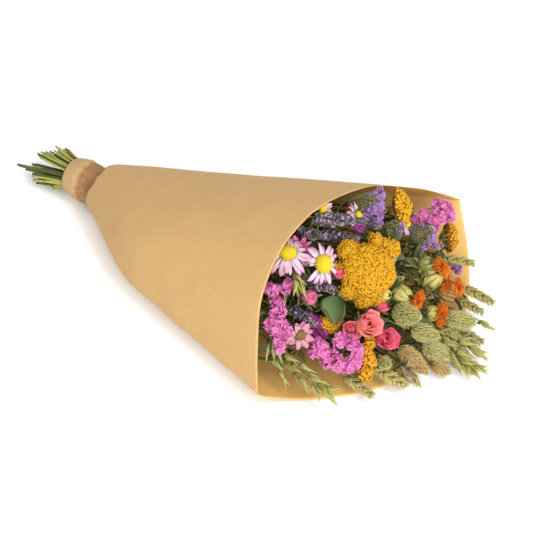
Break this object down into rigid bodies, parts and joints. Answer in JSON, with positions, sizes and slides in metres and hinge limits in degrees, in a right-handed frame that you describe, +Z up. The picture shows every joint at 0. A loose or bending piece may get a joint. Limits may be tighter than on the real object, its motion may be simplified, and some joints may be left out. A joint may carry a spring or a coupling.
{
  "type": "mixed flower bouquet",
  "caption": "Lying bouquet of dried wildflowers, grasses and small roses in a kraft paper cone, its stems gathered in a paper cuff and banded.",
  "frame": {"origin": "on the table, under the middle of the bounding box of the lying bouquet", "axes": "+X from the cut stem ends to the flowers, +Y to the bouquet's far side as the picture shows it, +Z up from the table"},
  "size_m": [0.6, 0.32, 0.151],
  "materials": {
    "kraft_paper": "matte brown kraft wrapping paper",
    "kraft_paper_neck": "matte brown kraft wrapping paper, handled and creased",
    "rubber_band": "matte tan rubber",
    "dried_stems": "matte dried green stalks",
    "yarrow_yellow": "matte dried florets",
    "yarrow_orange": "matte dried florets",
    "statice_pink": "papery dried florets",
    "bloom_magenta": "papery dried petals",
    "statice_purple": "papery dried florets",
    "lavender_grey": "matte dried buds",
    "daisy_petal": "papery satin petals",
    "rose_coral": "matte crinkled petals",
    "rose_deep_pink": "matte crinkled petals",
    "rosebud_pink": "matte crinkled petals",
    "safflower_green": "matte dried bracts",
    "canary_grass_tan": "papery dried scales",
    "wheat_straw": "papery dried husks",
    "oat_straw": "papery dried husks",
    "leaf_grey_green": "matte dried leaf",
    "leaf_dark_green": "matte dried leaf",
    "daisy_disc": "matte dried florets",
    "safflower_orange": "matte dried threads"
  },
  "bodies": {
    "root": {"wrap": "kraft_paper", "cuff": "kraft_paper_neck", "band": "rubber_band", "stems": "dried_stems", "yarrow_main": "yarrow_yellow", "yarrow_far": "yarrow_yellow", "yarrow_right": "yarrow_yellow", "yarrow_low": "yarrow_orange", "yarrow_deep": "yarrow_orange", "statice_pink_near": "statice_pink", "statice_pink_low": "statice_pink", "statice_pink_far": "statice_pink", "statice_pink_deep": "bloom_magenta", "statice_purple_far": "statice_purple", "statice_purple_mid": "statice_purple", "statice_purple_right": "statice_purple", "statice_purple_edge": "statice_purple", "lavender_top": "lavender_grey", "lavender_far": "lavender_grey", "lavender_mid": "lavender_grey", "lavender_near": "lavender_grey", "lavender_low": "lavender_grey", "lavender_deep": "lavender_grey", "daisy_near_petals": "daisy_petal", "daisy_mid_petals": "daisy_petal", "daisy_rim": "daisy_petal", "daisy_side": "daisy_petal", "daisy_low": "daisy_petal", "magenta_bloom": "bloom_magenta", "rose_coral": "rose_coral", "rose_deep": "rose_deep_pink", "rosebud_near": "rosebud_pink", "rosebud_mid": "rose_deep_pink", "rosebud_low": "rosebud_pink", "safflower_bud_far": "safflower_green", "safflower_bud_right": "safflower_green", "safflower_bud_low": "safflower_green", "safflower_bud_end": "safflower_green", "canary_top": "canary_grass_tan", "canary_mid": "canary_grass_tan", "canary_front": "canary_grass_tan", "canary_low": "canary_grass_tan", "canary_right": "canary_grass_tan", "canary_small": "canary_grass_tan", "wheat_near": "wheat_straw", "wheat_low": "wheat_straw", "wheat_far": "wheat_straw", "wheat_right": "wheat_straw", "wheat_front": "wheat_straw", "oats_near": "oat_straw", "oats_right": "oat_straw", "oats_front": "oat_straw", "leaf_grey": "leaf_grey_green", "leaves_dark": "leaf_dark_green", "daisy_near_disc": "daisy_disc", "daisy_mid_disc": "daisy_disc", "safflower_tuft_far": "safflower_orange", "safflower_tuft_right": "safflower_orange", "safflower_tuft_low": "safflower_orange", "safflower_tuft_end": "safflower_orange"}
  },
  "joints": []
}
